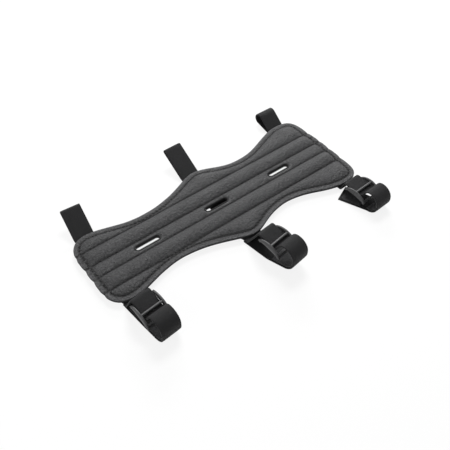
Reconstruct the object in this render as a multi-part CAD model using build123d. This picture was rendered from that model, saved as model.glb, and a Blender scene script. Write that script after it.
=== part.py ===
from build123d import *
from math import cos, hypot, radians, sin
import os

# Quilted archery forearm guard: a leather-like panel of five sewn channels over foam, with a
# lining and three edged slots, and three woven elastic straps that cross under it. Each strap
# has a sewn loop at one end, and a slider and a rolled hook-and-loop tail at the other.
#
# Frame, in millimetres: the origin is under the middle of the panel, on the surface that the
# guard lies on. +X points to the elbow end, +Y to the side with the loops, +Z up.
#
# The panel bends round the arm along its four sewn lines, so every layer is divided there.

os.makedirs("parts", exist_ok=True)

# Webbing
ELASTIC_WIDTH = 19.0
ELASTIC = 1.6
PATCH_WIDTH = 17.0
PATCH = 1.0

# Levels of the panel, from the surface up
LINING_LOW = ELASTIC
SEAM_LEVEL = 5.8
RIM_LAYER = 1.4
SKIN = 1.0
COVER_TOP = 10.0

# Layout of the panel, seen from above
INNER_LINE = 7.0
OUTER_LINE = 24.0
SLIT = 0.15
SKIN_MARGIN = 0.8
FOAM_MARGIN = 1.8
RIM_WIDTH = 5.2
SLOT_LENGTH = 24.4
SLOT_WIDTH = 5.0
SLOT_PITCH = 76.0
SLOT_MIDDLES = {"wrist": -SLOT_PITCH, "middle": 0.0, "elbow": SLOT_PITCH}
EDGING = 1.0
EDGING_GAP = 0.05
MEETING_GAP = 0.1

# The fold lines: how high their axes lie, and how far the elastic under the panel stays off
# them. It also stops short of the rim, where the strap and the loop begin.
FOLD_HEIGHT = 4.2
FOLD_GAP = 1.4
STRAP_ROOT_GAP = 7.6
LOOP_SIDE_GAP = 0.4

# Half of the outline, from the wrist end to the elbow end: each knot has a place, the
# direction of travel in degrees, and the lengths of its handles before and after it.
WRIST_END = -135.0
ELBOW_END = 138.5
OUTLINE = [
    ((WRIST_END, 20.0), 90, 0, 13),
    ((-116.0, 41.5), 0, 12, 16),
    ((-62.0, 31.0), 0, 22, 35),
    ((7.0, 48.5), 0, 12, 13),
    ((55.0, 35.8), 0, 24, 24),
    ((117.0, 51.8), 0, 20, 15),
    ((137.5, 28.0), -90, 20, 0),
]

# Where the straps cross, and how far out the rim reaches there
STATIONS = {"wrist": (-116.0, 41.5), "middle": (5.0, 48.5), "elbow": (118.0, 51.8)}

# Loops: angle of rise, turn about the vertical, length between the bend centres, and the
# inside height at the outer bend. The inner bend is pressed nearly flat.
LOOP_ROOT_GAP = 1.0
LOOP_AXIS_OUT = 2.6
LOOP_AXIS_UP = 3.2
LOOPS = {
    "wrist": (33.0, -4.0, 27.0, 1.4),
    "middle": (30.0, 1.0, 31.0, 1.4),
    "elbow": (25.0, 0.0, 16.0, 8.6),
}

# Straps, in a plane across the rim: distances out from the rim and heights, with the bend at
# each corner. The corners are the rise at the rim, the hump over the slider's first bar, the
# dip under its middle bar, the top of the roll, its outer top, its foot and, on two straps,
# the place where the tail comes down to the surface. The elbow tail swings off to one side.
STRAP_AXIS_OUT = -4.4
STRAP_AXIS_UP = 2.0
STRAP_START = (-4.2, 3.1)
TAIL_HEIGHT = ELASTIC / 2
TAIL_TURN_AT = 33.0
TAIL_LAP = 8.0
TAIL_LAP_WIDTH = 15.0
HUMP = 1
DIP = 2
FOOT = 5
STRAPS = {
    "wrist": {
        "turn": -5.0,
        "corners": [
            (1.0, 3.1),
            (10.0, 21.5),
            (28.5, 14.5),
            (34.4, 26.0),
            (49.0, 26.0),
            (49.0, 2.4),
            (23.0, 0.8),
        ],
        "bends": [1.6, 2.6, 3.0, 6.0, 10.5, 10.5, 20.0],
        "roll_end": -3.4,
        "tail_end": -3.4,
        "tail_turn": 0,
        "loop_patch": (38.2, 26.0),
        "hook_patch": (4.0, 21.0),
        "hooks_up": True,
    },
    "middle": {
        "turn": -8.0,
        "corners": [
            (1.0, 3.1),
            (13.0, 24.0),
            (31.5, 19.0),
            (37.5, 30.0),
            (52.0, 30.0),
            (52.0, 8.0),
            (24.0, 0.8),
        ],
        "bends": [1.6, 2.6, 3.0, 6.0, 10.5, 12.0, 20.0],
        "roll_end": -3.4,
        "tail_end": -3.4,
        "tail_turn": 0,
        "loop_patch": (41.2, 29.0),
        "hook_patch": (29.0, 41.0),
        "hooks_up": False,
    },
    "elbow": {
        "turn": -3.0,
        "corners": [
            (1.2, 3.1),
            (4.5, 13.2),
            (24.5, 11.0),
            (30.0, 22.0),
            (44.0, 22.0),
            (44.0, 0.8),
        ],
        "bends": [1.4, 2.6, 3.0, 6.0, 10.0, 10.0],
        "roll_end": TAIL_TURN_AT,
        "tail_end": 2.5,
        "tail_turn": 20,
        "loop_patch": (33.8, 33.0),
        "hook_patch": (5.0, 24.0),
        "hooks_up": True,
    },
}

# Sliders: three bars between two bowed rails
BAR_RADIUS = 1.25
BAR_DROP = 2.4
BAR_PITCH = 10.6
SLIDER_FROM_HUMP = 15.2
RAIL_HALF_LENGTH = 12.4
RAIL_TOP = 4.2
RAIL_HOLLOW = -2.0
RAIL_FOOT = -2.6
RAIL_THICKNESS = 2.2
RAIL_CLEARANCE = 0.4

# The five channels, between their sewn lines. The outer ones run out past the rim.
CLEAR_OF_PANEL = 70.0
PANEL_SPACE_LENGTH = 300.0
CHANNELS = {
    "outer_strap_side": (-CLEAR_OF_PANEL, -OUTER_LINE),
    "inner_strap_side": (-OUTER_LINE, -INNER_LINE),
    "centre": (-INNER_LINE, INNER_LINE),
    "inner_loop_side": (INNER_LINE, OUTER_LINE),
    "outer_loop_side": (OUTER_LINE, CLEAR_OF_PANEL),
}
OUTLINE_STEPS = (0, 0.2, 0.4, 0.6, 0.8)

nodes = {}


def on_bearing(point, bearing, length):
    """The point at this length from another, on a bearing in degrees."""
    return (point[0] + length * cos(radians(bearing)), point[1] + length * sin(radians(bearing)))


def panel_outline(inset=0):
    """The panel's flat outline as one face, moved in from the edge by inset."""
    points = []
    for (start, out_way, _, out), (end, in_way, back, _) in zip(OUTLINE, OUTLINE[1:]):
        edge = Bezier(start, on_bearing(start, out_way, out), on_bearing(end, in_way, -back), end)
        for t in OUTLINE_STEPS:
            inward = (edge % t).rotate(Axis.Z, -90)
            points.append(edge @ t + inward * inset)
    wrist = Vector(WRIST_END + inset, OUTLINE[0][0][1])
    elbow = Vector(OUTLINE[-1][0][0] - inset, OUTLINE[-1][0][1])
    side = Spline(*points, elbow)
    wrist_edge = Line((wrist.X, -wrist.Y), (wrist.X, wrist.Y))
    elbow_bow = ThreePointArc((elbow.X, elbow.Y), (ELBOW_END - inset, 0), (elbow.X, -elbow.Y))
    edges = [side.edge(), mirror(side, about=Plane.XZ).edge(), wrist_edge.edge(), elbow_bow.edge()]
    return make_face(edges)


def layer(outline, low, high):
    """A level of the whole panel, inside a flat outline."""
    return extrude(Pos(0, 0, low) * outline, high - low)


def channel_box(low, high):
    """The space between two Y values, larger than the panel."""
    middle = (low + high) / 2
    return Pos(0, middle, 0) * Box(PANEL_SPACE_LENGTH, high - low, 4 * COVER_TOP)


def slot_column(name, grown):
    """A slot's opening, grown all round, through the thickness of the panel."""
    opening = SlotOverall(SLOT_LENGTH + 2 * grown, SLOT_WIDTH + 2 * grown)
    return layer(Pos(SLOT_MIDDLES[name], 0) * opening, LINING_LOW, COVER_TOP)


def make_edgings():
    """The sewn edging that holds cover, foam and lining together round each slot."""
    for name in SLOT_MIDDLES:
        edging = slot_column(name, EDGING) - slot_column(name, 0)
        nodes[name + "_slot_edging"] = edging


def make_channels():
    """Cover, foam and lining of each channel."""
    rim = panel_outline()
    skin = panel_outline(RIM_WIDTH)
    padding = panel_outline(RIM_WIDTH + SKIN)
    cover_rim = layer(rim, SEAM_LEVEL, SEAM_LEVEL + RIM_LAYER)
    lining_rim = layer(rim, SEAM_LEVEL - RIM_LAYER, SEAM_LEVEL)
    cover_skin = layer(skin, SEAM_LEVEL, COVER_TOP)
    lining_skin = layer(skin, LINING_LOW, SEAM_LEVEL)
    foam_layer = layer(padding, LINING_LOW + SKIN, COVER_TOP - SKIN)
    slot_cut = Part() + [slot_column(name, EDGING + EDGING_GAP) for name in SLOT_MIDDLES]
    meeting = Box(MEETING_GAP, CLEAR_OF_PANEL, CLEAR_OF_PANEL)
    meetings = Part() + [Pos(x, 0, 0) * meeting for x in SLOT_MIDDLES.values()]
    for name, (low, high) in CHANNELS.items():
        rim_box = channel_box(low + SLIT, high - SLIT)
        skin_box = channel_box(low + SKIN_MARGIN, high - SKIN_MARGIN)
        foam = foam_layer & channel_box(low + FOAM_MARGIN, high - FOAM_MARGIN)
        cover = (cover_rim & rim_box) + (cover_skin & skin_box) - foam
        lining = (lining_rim & rim_box) + (lining_skin & skin_box) - foam
        if name == "centre":
            # the two sheets of the middle channel are in four lengths that meet beside the slots
            cover = cover - slot_cut - meetings
            lining = lining - slot_cut - meetings
            foam -= slot_cut
        nodes["cover_" + name] = cover
        nodes["foam_" + name] = foam
        nodes["lining_" + name] = lining


def make_cross_strap(station, x, rim):
    """The part of an elastic strap that lies under the panel, divided at the fold lines."""
    ends = {
        "outer_strap_side": (-rim + STRAP_ROOT_GAP, -OUTER_LINE - FOLD_GAP),
        "inner_strap_side": (-OUTER_LINE + FOLD_GAP, -INNER_LINE - FOLD_GAP),
        "centre": (-INNER_LINE + FOLD_GAP, INNER_LINE - FOLD_GAP),
        "inner_loop_side": (INNER_LINE + FOLD_GAP, OUTER_LINE - FOLD_GAP),
        "outer_loop_side": (OUTER_LINE + FOLD_GAP, rim - LOOP_SIDE_GAP),
    }
    for channel, (low, high) in ends.items():
        piece = Box(ELASTIC_WIDTH, high - low, ELASTIC, align=(Align.CENTER, Align.MIN, Align.MIN))
        nodes[f"{station}_elastic_{channel}"] = Pos(x, low, 0) * piece


def make_loop(station, x, rim):
    """The sewn loop: a flattened ring of elastic whose inner bend turns on the rim."""
    rise, turn, length, gap = LOOPS[station]
    root = LOOP_ROOT_GAP / 2
    tip = gap / 2
    inside = make_hull(Circle(root).edges() + (Pos(length, 0) * Circle(tip)).edges())
    root += ELASTIC
    tip += ELASTIC
    outside = make_hull(Circle(root).edges() + (Pos(length, 0) * Circle(tip)).edges())
    frame = Location((x, rim + LOOP_AXIS_OUT, LOOP_AXIS_UP), (0, 0, turn))
    up_slope = (0, cos(radians(rise)), sin(radians(rise)))
    plane = Plane(origin=(0, 0, 0), x_dir=up_slope, z_dir=(1, 0, 0))
    loop = extrude(plane * (outside - inside), ELASTIC_WIDTH / 2, both=True)
    nodes[station + "_loop"] = frame * loop


def shifted(route, bends, side):
    """A route moved sideways, to the left of travel when side is positive, and its bends."""
    ways = []
    for (x0, y0), (x1, y1) in zip(route, route[1:]):
        length = hypot(x1 - x0, y1 - y0)
        ways.append(((x1 - x0) / length, (y1 - y0) / length))
    moved = []
    radii = []
    for i, (x, y) in enumerate(route):
        before = ways[max(i - 1, 0)]
        after = ways[min(i, len(ways) - 1)]
        share = 1 + before[0] * after[0] + before[1] * after[1]
        along_x = side * (before[1] + after[1]) / share
        along_y = side * (before[0] + after[0]) / share
        moved.append((x - along_x, y + along_y))
        if 0 < i < len(route) - 1:
            left_turn = before[0] * after[1] - before[1] * after[0] > 0
            radii.append(bends[i - 1] - side if left_turn else bends[i - 1] + side)
    return moved, radii


def side_line(route, bends, side):
    """The line that a route and its bends make, moved sideways."""
    points, radii = shifted(route, bends, side)
    return FilletPolyline(*points, radius=radii) if radii else Line(*points)


def ribbon(route, bends, low, high, width):
    """A strip of webbing along a route, between two distances to the left of it."""
    left = side_line(route, bends, high)
    right = side_line(route, bends, low)
    ends = [Line(left @ 0, right @ 0).edge(), Line(left @ 1, right @ 1).edge()]
    return extrude(make_face(left.edges() + right.edges() + ends), width / 2, both=True)


def strap_frame(station):
    """Where a strap's plane stands: X is out from the rim, Y is up."""
    x, rim = STATIONS[station]
    turn = STRAPS[station]["turn"]
    out = (-sin(radians(turn)), -cos(radians(turn)), 0)
    across = (-cos(radians(turn)), sin(radians(turn)), 0)
    return Plane(origin=(x, -rim, 0), x_dir=out, z_dir=across)


def strap_route(station):
    """The corners of a strap's roll, from the rim to the end of the roll."""
    strap = STRAPS[station]
    return [STRAP_START] + strap["corners"] + [(strap["roll_end"], TAIL_HEIGHT)]


def lowest_run(station, out):
    """A point on the strap's lowest run, at a distance out from the rim."""
    foot, down = strap_route(station)[FOOT + 1 : FOOT + 3]
    if out <= down[0]:
        return (out, TAIL_HEIGHT)
    return (out, down[1] + (foot[1] - down[1]) * (out - down[0]) / (foot[0] - down[0]))


def swung(shape, turn):
    """A piece of the flat tail, swung about the place where the tail leaves the roll."""
    there = Pos(TAIL_TURN_AT, TAIL_HEIGHT)
    return there * Rot(0, turn, 0) * there.inverse() * shape


def make_strap(station):
    """The rolled elastic with its two patches."""
    strap = STRAPS[station]
    corners = strap["corners"]
    bends = strap["bends"]
    turn = strap["tail_turn"]
    half = ELASTIC / 2
    place = strap_frame(station)
    body = ribbon(strap_route(station), bends, -half, half, ELASTIC_WIDTH)
    if turn:
        turning_point = (TAIL_TURN_AT, TAIL_HEIGHT)
        tail_route = [turning_point, (strap["tail_end"], TAIL_HEIGHT)]
        tail = ribbon(tail_route, [], -half, half, ELASTIC_WIDTH)
        lap = Pos(*turning_point) * Box(TAIL_LAP, ELASTIC, TAIL_LAP_WIDTH)
        body = body + swung(tail, turn) + swung(lap, turn)
    nodes[station + "_strap"] = place * body

    # the pile lines the roll, from its top round to its lowest run
    top_start, low_end = strap["loop_patch"]
    top, foot = corners[FOOT - 1], corners[FOOT]
    loop_route = [(top_start, top[1]), top, foot, lowest_run(station, low_end)]
    patch = ribbon(loop_route, bends[FOOT - 1 : FOOT + 1], -half - PATCH, -half, PATCH_WIDTH)
    nodes[station + "_loop_patch"] = place * patch

    near, far = strap["hook_patch"]
    hook_route = [lowest_run(station, far), lowest_run(station, near)]
    if strap["hooks_up"]:
        hooks = ribbon(hook_route, [], -half - PATCH, -half, PATCH_WIDTH)
    else:
        hooks = ribbon(hook_route, [], half, half + PATCH, PATCH_WIDTH)
    nodes[station + "_hook_patch"] = place * swung(hooks, turn)


def slider_place(station):
    """The middle of a slider and the unit vector along its strap, in the strap's plane."""
    hump = STRAPS[station]["corners"][HUMP]
    dip = STRAPS[station]["corners"][DIP]
    length = hypot(dip[0] - hump[0], dip[1] - hump[1])
    way = ((dip[0] - hump[0]) / length, (dip[1] - hump[1]) / length)
    centre = (hump[0] + way[0] * SLIDER_FROM_HUMP, hump[1] + way[1] * SLIDER_FROM_HUMP)
    return centre, way


def make_slider(station):
    """A bowed slider: two outer bars under the strap and a middle bar over it."""
    centre, way = slider_place(station)
    inner_half = ELASTIC_WIDTH / 2 + RAIL_CLEARANCE
    near_foot = (-RAIL_HALF_LENGTH, RAIL_FOOT)
    far_foot = (RAIL_HALF_LENGTH, RAIL_FOOT)
    top = ThreePointArc(near_foot, (0, RAIL_TOP), far_foot)
    hollow = ThreePointArc(far_foot, (0, RAIL_HOLLOW), near_foot)
    profile = make_face([top.edge(), hollow.edge()])
    rail = extrude(Pos(0, 0, inner_half) * profile, RAIL_THICKNESS)
    slider = rail + mirror(rail, about=Plane.XY)
    half = inner_half + RAIL_THICKNESS
    for along, up in ((-BAR_PITCH, -BAR_DROP), (0, BAR_DROP), (BAR_PITCH, -BAR_DROP)):
        slider += extrude(Pos(along, up) * Circle(BAR_RADIUS), half, both=True)
    turn = Plane(origin=(centre[0], centre[1], 0), x_dir=(way[0], way[1], 0), z_dir=(0, 0, 1))
    nodes[station + "_slider"] = strap_frame(station) * (turn * slider)


make_channels()
make_edgings()
for station_name, (station_x, rim_y) in STATIONS.items():
    make_cross_strap(station_name, station_x, rim_y)
    make_loop(station_name, station_x, rim_y)
    make_strap(station_name)
    make_slider(station_name)

for node, shape in nodes.items():
    export_step(shape, f"parts/{node}.step")
print(len(nodes), "nodes")
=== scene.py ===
import math

import bpy
import numpy as np
from mathutils import Matrix, Vector, noise
from mathutils.geometry import delaunay_2d_cdt, interpolate_bezier


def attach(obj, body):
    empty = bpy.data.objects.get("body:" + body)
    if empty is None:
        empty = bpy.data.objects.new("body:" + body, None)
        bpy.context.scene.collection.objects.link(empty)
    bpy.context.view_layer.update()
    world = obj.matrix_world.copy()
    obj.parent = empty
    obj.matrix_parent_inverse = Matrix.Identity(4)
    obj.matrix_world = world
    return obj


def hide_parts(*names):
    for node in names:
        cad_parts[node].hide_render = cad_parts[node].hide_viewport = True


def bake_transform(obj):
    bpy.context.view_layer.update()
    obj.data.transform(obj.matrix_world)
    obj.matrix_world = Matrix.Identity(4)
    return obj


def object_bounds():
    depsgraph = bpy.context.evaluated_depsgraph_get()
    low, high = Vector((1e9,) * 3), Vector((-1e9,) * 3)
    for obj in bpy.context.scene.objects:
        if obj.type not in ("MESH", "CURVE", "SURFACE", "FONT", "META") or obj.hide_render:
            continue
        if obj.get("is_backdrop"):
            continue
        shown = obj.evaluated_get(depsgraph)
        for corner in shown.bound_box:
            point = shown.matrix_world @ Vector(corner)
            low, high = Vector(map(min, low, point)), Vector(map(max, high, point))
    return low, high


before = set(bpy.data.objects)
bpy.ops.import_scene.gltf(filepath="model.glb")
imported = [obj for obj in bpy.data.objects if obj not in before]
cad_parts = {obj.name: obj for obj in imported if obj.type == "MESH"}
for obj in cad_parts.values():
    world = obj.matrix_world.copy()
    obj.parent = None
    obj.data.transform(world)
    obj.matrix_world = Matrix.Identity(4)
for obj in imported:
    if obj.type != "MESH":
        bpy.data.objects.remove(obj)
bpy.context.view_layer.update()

# ---------------------------------------------------------------------------------------------
# The quilted panel's plan: five lengthwise channels between four sewn lines, a flat rim outside
# a sewn seam, and three slots down the middle. Cover, lining and foam are all cut to this plan,
# so it is laid out once, in millimetres, seen from above.
# ---------------------------------------------------------------------------------------------
MM = 0.001
WRIST_END, ELBOW_END = -135.0, 138.5
CORNER_Y = 28.0
INNER_LINE, OUTER_LINE = 7.0, 24.0
SEAM = 5.2
SLOT_PITCH, SLOT_LENGTH, SLOT_WIDTH = 76.0, 24.4, 5.0
EDGING = 1.1
SLOT_MIDDLES = (-SLOT_PITCH, 0.0, SLOT_PITCH)
# Half of the outline, from the wrist end to the elbow end: a place, the way that the edge runs
# there in degrees, and how far its curve keeps to that way before and after the place.
HALF_OUTLINE = [
    ((WRIST_END, 20.0), 90, 0, 13),
    ((-116.0, 41.5), 0, 12, 16),
    ((-62.0, 31.0), 0, 22, 35),
    ((7.0, 48.5), 0, 12, 13),
    ((55.0, 35.8), 0, 24, 24),
    ((117.0, 51.8), 0, 20, 15),
    ((137.5, CORNER_Y), -90, 20, 0),
]
BANDS = (-15.5, 0.0, 15.5)
SEWN_LINES = (-OUTER_LINE, -INNER_LINE, INNER_LINE, OUTER_LINE)


def walked(points, step, closed=False):
    """The same line with its points an even step apart."""
    line = np.array(points, float)
    if closed:
        line = np.vstack([line, line[:1]])
    along = np.concatenate([[0], np.cumsum(np.linalg.norm(np.diff(line, axis=0), axis=1))])
    count = max(2, round(along[-1] / step))
    at = np.linspace(0, along[-1], count + 1)
    if closed:
        at = at[:-1]
    return np.stack([np.interp(at, along, line[:, k]) for k in range(line.shape[1])], axis=1)


def panel_edge():
    """The panel's outer edge, once round, with the small dips where the sewn lines run out."""
    half = []
    for (a, way_a, _, out), (b, way_b, back, _) in zip(HALF_OUTLINE, HALF_OUTLINE[1:]):
        a, b = Vector(a), Vector(b)
        handle_a = a + out * Vector((math.cos(math.radians(way_a)), math.sin(math.radians(way_a))))
        handle_b = b - back * Vector((math.cos(math.radians(way_b)), math.sin(math.radians(way_b))))
        half += [tuple(p) for p in interpolate_bezier(a, handle_a, handle_b, b, 40)[:-1]]
    bow = [(ELBOW_END - (y / CORNER_Y) ** 2, y) for y in np.linspace(CORNER_Y, -CORNER_Y, 60)]
    other_half = [(x, -y) for x, y in reversed(half)]
    edge = walked(half + bow + other_half, 2.1, closed=True)
    dips = sum(np.exp(-(((edge[:, 1] - line) / 2.4) ** 2)) for line in SEWN_LINES)
    at_an_end = (edge[:, 0] > 130) | (edge[:, 0] < -131)
    edge[:, 0] -= np.sign(edge[:, 0]) * at_an_end * 0.8 * dips
    return edge


EDGE = panel_edge()


def moved_in(loop, amount):
    """A closed loop, run clockwise, moved in by an amount."""
    way = np.roll(loop, -1, axis=0) - np.roll(loop, 1, axis=0)
    way /= np.linalg.norm(way, axis=1)[:, None]
    return loop + amount * np.stack([way[:, 1], -way[:, 0]], axis=1)


def from_loop(points, loop):
    """How far each point is from a closed loop."""
    ends = np.roll(loop, -1, axis=0)
    best = np.full(len(points), np.inf)
    for a, b in zip(loop, ends):
        d = b - a
        t = np.clip((points - a) @ d / (d @ d), 0, 1)
        best = np.minimum(best, np.linalg.norm(points - a - t[:, None] * d, axis=1))
    return best


def from_slots(points, size):
    """How far each point is outside the nearest slot's opening, grown by a size all round."""
    radius = SLOT_WIDTH / 2
    best = np.full(len(points), np.inf)
    for middle in SLOT_MIDDLES:
        beyond = np.maximum(np.abs(points[:, 0] - middle) - (SLOT_LENGTH / 2 - radius), 0)
        best = np.minimum(best, np.hypot(beyond, points[:, 1]) - radius - size)
    return best


def slot_loop(middle, grown, step):
    """The edge of a slot, grown by an amount, once round clockwise."""
    radius = SLOT_WIDTH / 2 + grown
    straight = SLOT_LENGTH / 2 - SLOT_WIDTH / 2
    turn = np.linspace(math.pi / 2, -math.pi / 2, 24)
    right = np.stack([middle + straight + radius * np.cos(turn), radius * np.sin(turn)], axis=1)
    left = np.stack([middle - straight - radius * np.cos(turn), -radius * np.sin(turn)], axis=1)
    return walked(np.vstack([right, left]), step, closed=True)


def panel_has(point):
    """Whether a point is inside the panel's edge."""
    x, y = point
    a, b = EDGE, np.roll(EDGE, -1, axis=0)
    spans = (a[:, 1] > y) != (b[:, 1] > y)
    cross = a[spans, 0] + (y - a[spans, 1]) * (b[spans, 0] - a[spans, 0]) / (
        b[spans, 1] - a[spans, 1]
    )
    return np.count_nonzero(cross > x) % 2 == 1


def lay_out_panel():
    """Points and triangles of the panel's plan, dense across every seam."""
    points, loops = [], []

    def add(some, closed=False):
        first = len(points)
        points.extend(tuple(p) for p in some)
        if closed:
            count = len(points) - first
            loops.extend((first + i, first + (i + 1) % count) for i in range(count))

    add(EDGE, closed=True)
    for amount in (0.14, 0.55, 1.7, 3.3, 4.5, SEAM):
        add(moved_in(EDGE, amount))
    for amount in (5.8, 6.9):
        ring = moved_in(EDGE, amount)
        clear = np.min([np.abs(ring[:, 1] - line) for line in SEWN_LINES], axis=0) > 2.6
        add(ring[clear])
    for middle in SLOT_MIDDLES:
        add(slot_loop(middle, EDGING / 2, 1.1), closed=True)
        for grown in (0.3, 0.8, 1.5):
            add(slot_loop(middle, EDGING / 2 + grown, 1.3))
    steps = (0, 0.45, 1.1, 2.2, 4.0, 6.2)
    rows = {0.0, 2.2, 4.3, INNER_LINE - 1.6, INNER_LINE - 0.9, INNER_LINE - 0.4, BANDS[2]}
    rows |= {INNER_LINE + s for s in steps} | {OUTER_LINE - s for s in steps}
    rows |= {OUTER_LINE + s for s in steps} | {33.0, 36.0, 39.0, 42.0, 45.0}
    across = np.array(sorted(rows | {-y for y in rows}))
    along = np.arange(WRIST_END - 1, ELBOW_END + 1, 2.2)
    grid = np.array([(x, y) for y in across for x in along])
    inside = from_loop(grid, EDGE)
    near_line = np.min([np.abs(grid[:, 1] - line) for line in SEWN_LINES], axis=0) < 2.3
    in_panel = np.array([panel_has(p) for p in grid])
    keep = in_panel & (inside > np.where(near_line, SEAM + 0.45, 7.7))
    keep &= from_slots(grid, EDGING / 2) > 2.1
    add(grid[keep])
    for y in (*BANDS, *SEWN_LINES):
        first = len(points)
        points.extend([(WRIST_END - 4, y), (ELBOW_END + 4, y)])
        loops.append((first, first + 1))
    verts, _, faces, *_ = delaunay_2d_cdt([Vector(p) for p in points], loops, [], 0, 1e-5)
    plan = np.array([tuple(v) for v in verts])
    tris = np.array([f if len(f) == 3 else f[:3] for f in faces])
    middles = plan[tris].mean(axis=1)
    keep = np.array([panel_has(p) for p in middles]) & (from_slots(middles, EDGING / 2) > 0)
    tris = tris[keep]
    used, tris = np.unique(tris, return_inverse=True)
    tris = tris.reshape(-1, 3)
    plan = plan[used]
    a, b, c = (plan[tris[:, k]] for k in range(3))
    turned = (b - a)[:, 0] * (c - a)[:, 1] - (b - a)[:, 1] * (c - a)[:, 0] < 0
    tris[turned] = tris[turned][:, ::-1]
    return plan, tris


PLAN, TRIANGLES = lay_out_panel()

# Levels of the quilting. A sewn line pulls cover and lining together; between two of them the
# foam pushes the cover up and the lining down. The rim outside the seam has no foam.
COVER_VALLEY, COVER_RIM = 6.55, 7.2
LINING_VALLEY, LINING_RIM, LINING_LOWEST = 4.35, 4.4, 1.72
CREST = {"centre": 2.1, "inner": 3.7, "outer": 3.2}
COVER_THICK, LINING_THICK = 1.3, 0.9
CUT_ROUNDING = 0.55
REACH, ROUNDNESS = 8.6, 0.78


def rise(distance, reach):
    """How far the quilting has risen at a distance from a sewn line, from 0 to 1."""
    return np.sin(np.clip(distance / reach, 0, 1) * math.pi / 2) ** ROUNDNESS


def uneven(points, size, seed):
    """Soft unevenness over the plan, from about -1 to 1."""
    return np.array([noise.noise(Vector((x / size, y / size, seed))) for x, y in points])


def quilting(points):
    """Cover top and lining underside over points of the plan, and how far in they lie."""
    inside = from_loop(points, EDGE)
    y = np.abs(points[:, 1])
    to_slot = from_slots(points, EDGING / 2)
    puffed = rise(inside - SEAM, REACH)
    for line in (INNER_LINE, OUTER_LINE):
        puffed *= rise(np.abs(y - line), np.where(y < INNER_LINE, INNER_LINE * 0.75, REACH))
    puffed *= np.where(y < INNER_LINE, rise(to_slot, 4.5), 1)
    crest = np.where(y < INNER_LINE, CREST["centre"], CREST["inner"])
    crest = np.where(y > OUTER_LINE, CREST["outer"], crest)
    lumps = 1 + 0.07 * uneven(points, 21, 3.0) + 0.05 * uneven(points, 8, 7.0)
    on_rim = np.clip((SEAM - inside) / SEAM, 0, 1)
    stiff = 1 - np.exp(-(((inside - SEAM) / 0.8) ** 2))
    wave = on_rim * (0.4 * uneven(points, 17, 11.0) - 0.25 * on_rim)
    cover = COVER_VALLEY + puffed * crest * lumps
    cover = np.where(inside < SEAM, COVER_VALLEY + (COVER_RIM - COVER_VALLEY) * stiff + wave, cover)
    lining = LINING_VALLEY - puffed * 0.7 * np.minimum(crest, 3.4) * np.minimum(lumps, 1.05)
    lining = np.where(inside < SEAM, LINING_RIM + wave, lining)
    return cover, np.maximum(lining, LINING_LOWEST), inside, to_slot


COVER_TOP, LINING_LOW, INSIDE, TO_SLOT = quilting(PLAN)


def fullness_at_cuts():
    """How full a sheet is over the plan: 1, but rounded off to 0 at its cut edges."""
    from_cut = np.minimum(INSIDE, np.maximum(TO_SLOT, 0))
    return np.sqrt(1 - (1 - np.clip(from_cut / CUT_ROUNDING, 0, 1)) ** 2)


FULLNESS = fullness_at_cuts()


def normals_of(verts, faces):
    """Smooth normals of a mesh, by the area of the faces round each point."""
    a, b, c = (verts[faces[:, k]] for k in range(3))
    flat = np.cross(b - a, c - a)
    total = np.zeros_like(verts)
    for k in range(3):
        np.add.at(total, faces[:, k], flat)
    return total / np.maximum(np.linalg.norm(total, axis=1), 1e-12)[:, None]


def piece_of(name, verts, faces, normals=None):
    """A mesh piece from points in millimetres, shaded smooth."""
    mesh = bpy.data.meshes.new(name)
    mesh.from_pydata((np.asarray(verts) * MM).tolist(), [], [list(map(int, f)) for f in faces])
    mesh.shade_smooth()
    if normals is not None:
        mesh.normals_split_custom_set(normals)
    piece = bpy.data.objects.new(name, mesh)
    bpy.context.scene.collection.objects.link(piece)
    return piece


def form(name, triangles, top, low, shading=None):
    """A closed piece between two levels of the plan. Its own cut sides are flat walls."""
    edges = np.concatenate([triangles[:, [0, 1]], triangles[:, [1, 2]], triangles[:, [2, 0]]])
    owners = {}
    for a, b in edges:
        owners[(a, b)] = owners.get((a, b), 0) + 1
    shared = np.abs(top - low) < 1e-4
    count = len(PLAN)
    verts = np.vstack([np.column_stack([PLAN, top]), np.column_stack([PLAN, low])])
    below = np.where(shared, np.arange(count), np.arange(count) + count)
    faces = [tuple(t) for t in triangles] + [tuple(below[t[::-1]]) for t in triangles]
    walls = []
    for a, b in edges:
        if (b, a) not in owners and not (shared[a] and shared[b]):
            wall = (a, below[a], below[b], b)
            walls.append(tuple(dict.fromkeys(wall)))
    if shading is None:
        shading = normals_of(verts, np.array(faces))
    corner_normals = [tuple(shading[v]) for f in faces for v in f]
    for wall in walls:
        p = [verts[v] for v in wall[:3]]
        flat = np.cross(p[1] - p[0], p[2] - p[0])
        flat /= max(np.linalg.norm(flat), 1e-12)
        corner_normals += [tuple(flat)] * len(wall)
    faces += walls
    used = np.unique([v for f in faces for v in f])
    place = {v: i for i, v in enumerate(used)}
    return piece_of(name, verts[used], [[place[v] for v in f] for f in faces], corner_normals)


# Each band runs between the middles of two channels, with a sewn line inside it.
BAND_PARTS = [
    ("strap_edge", "outer_strap_side", "inner_strap_side", -OUTER_LINE),
    ("strap_half", "inner_strap_side", "centre", -INNER_LINE),
    ("loop_half", "centre", "inner_loop_side", INNER_LINE),
    ("loop_edge", "inner_loop_side", "outer_loop_side", OUTER_LINE),
]


def bends_at(piece):
    """Bakes the piece's placement into its mesh."""
    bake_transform(piece)


def band_of(y):
    """Which band a place across the panel lies in, from 0 to 3."""
    return np.searchsorted(BANDS, y)


TRIANGLE_BANDS = band_of(PLAN[TRIANGLES][:, :, 1].mean(axis=1))

# ---------------------------------------------------------------------------------------------
# Foam strips: one soft strip of closed-cell foam in each channel, cut to the channel and laid
# between lining and cover before the quilting lines are sewn. They only show as the crown of
# the channels. The slots go through the middle strip.
# ---------------------------------------------------------------------------------------------


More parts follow.
